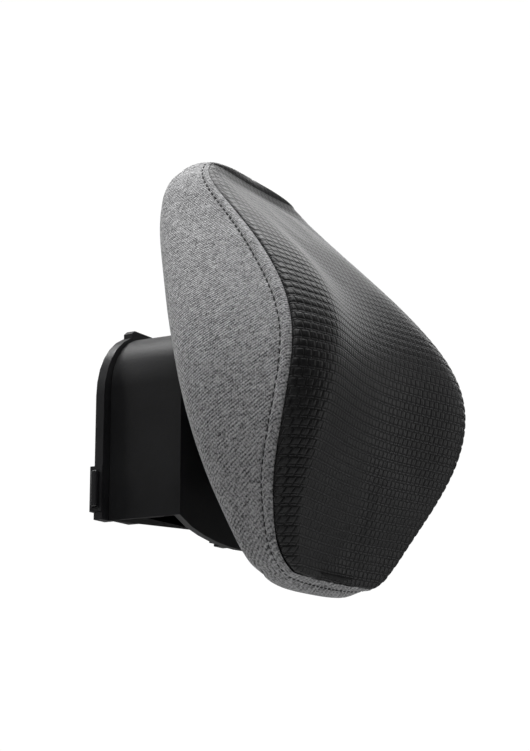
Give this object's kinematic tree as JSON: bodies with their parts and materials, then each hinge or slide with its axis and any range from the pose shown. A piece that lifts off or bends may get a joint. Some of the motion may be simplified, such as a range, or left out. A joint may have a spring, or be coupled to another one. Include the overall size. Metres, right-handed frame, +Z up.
{
  "type": "chair headrest attachment",
  "caption": "Clip-on tilting headrest: a saddle hood caps the chair's top rail and carries an upholstered head cushion on a friction hinge.",
  "frame": {"origin": "centre of the hood's ceiling, the flat face that comes to rest on top of the chair's rail", "axes": "+X across the headrest (the wearer's left-right), +Y towards the chair's back, -Y towards the head, +Z up"},
  "size_m": [0.165, 0.1288, 0.2034],
  "materials": {
    "black_plastic": "fine moulded grain, satin black",
    "rim_plastic": "satin black",
    "tab_plastic": "satin black",
    "black_weave": "black basket-weave upholstery",
    "grey_heather": "heather grey woven upholstery",
    "foam": "cut polyurethane foam",
    "shell_plastic": "moulded carrier shell",
    "steel_plate": "black e-coated steel",
    "zinc": "zinc plated",
    "rubber": "soft black rubber",
    "spring_steel": "spring steel",
    "nylon": "natural nylon"
  },
  "bodies": {
    "bracket": {"base_bolt_1": "zinc", "base_bolt_2": "zinc", "base_bolt_3": "zinc", "base_bolt_4": "zinc", "base_nut_1": "zinc", "base_nut_2": "zinc", "base_nut_3": "zinc", "base_nut_4": "zinc", "disc_spring_left": "spring_steel", "disc_spring_right": "spring_steel", "friction_washer_left": "nylon", "friction_washer_right": "nylon", "grip_pad_front": "rubber", "grip_pad_left": "rubber", "grip_pad_right": "rubber", "hinge_base": "steel_plate", "hinge_pin": "zinc", "lock_nut": "zinc", "nut_washer": "zinc", "rear_clip_frame": "rim_plastic", "rim_screw_1": "zinc", "rim_screw_2": "zinc", "rim_screw_3": "zinc", "rim_screw_4": "zinc", "saddle_hood": "black_plastic", "tab_pin_left": "zinc", "tab_pin_right": "zinc", "tab_spring_left": "spring_steel", "tab_spring_right": "spring_steel"},
    "cushion": {"front_cover": "black_weave", "back_cover": "grey_heather", "foam_core": "foam", "back_pad": "foam", "inner_shell": "shell_plastic", "pocket_bezel": "black_plastic", "hinge_yoke": "steel_plate", "insert_nut_1": "zinc", "insert_nut_2": "zinc", "insert_nut_3": "zinc", "insert_nut_4": "zinc", "yoke_screw_1": "zinc", "yoke_screw_2": "zinc", "yoke_screw_3": "zinc", "yoke_screw_4": "zinc"},
    "tab_left": {"release_tab_left": "tab_plastic"},
    "tab_right": {"release_tab_right": "tab_plastic"}
  },
  "joints": [
    {"name": "cushion_tilt", "type": "hinge", "parent": "bracket", "child": "cushion", "pos_m": [0, -0.0292, -0.0394], "axis": [1, 0, 0], "range_deg": [-3, 20]},
    {"name": "release_left", "type": "slide", "parent": "bracket", "child": "tab_left", "axis": [1, 0, 0], "range_m": [0, 0.0018], "stiffness_N_per_m": 900, "springref_m": -0.0008, "deforming": ["tab_spring_left"]},
    {"name": "release_right", "type": "slide", "parent": "bracket", "child": "tab_right", "axis": [-1, 0, 0], "range_m": [0, 0.0018], "stiffness_N_per_m": 900, "springref_m": -0.0008, "deforming": ["tab_spring_right"]}
  ]
}
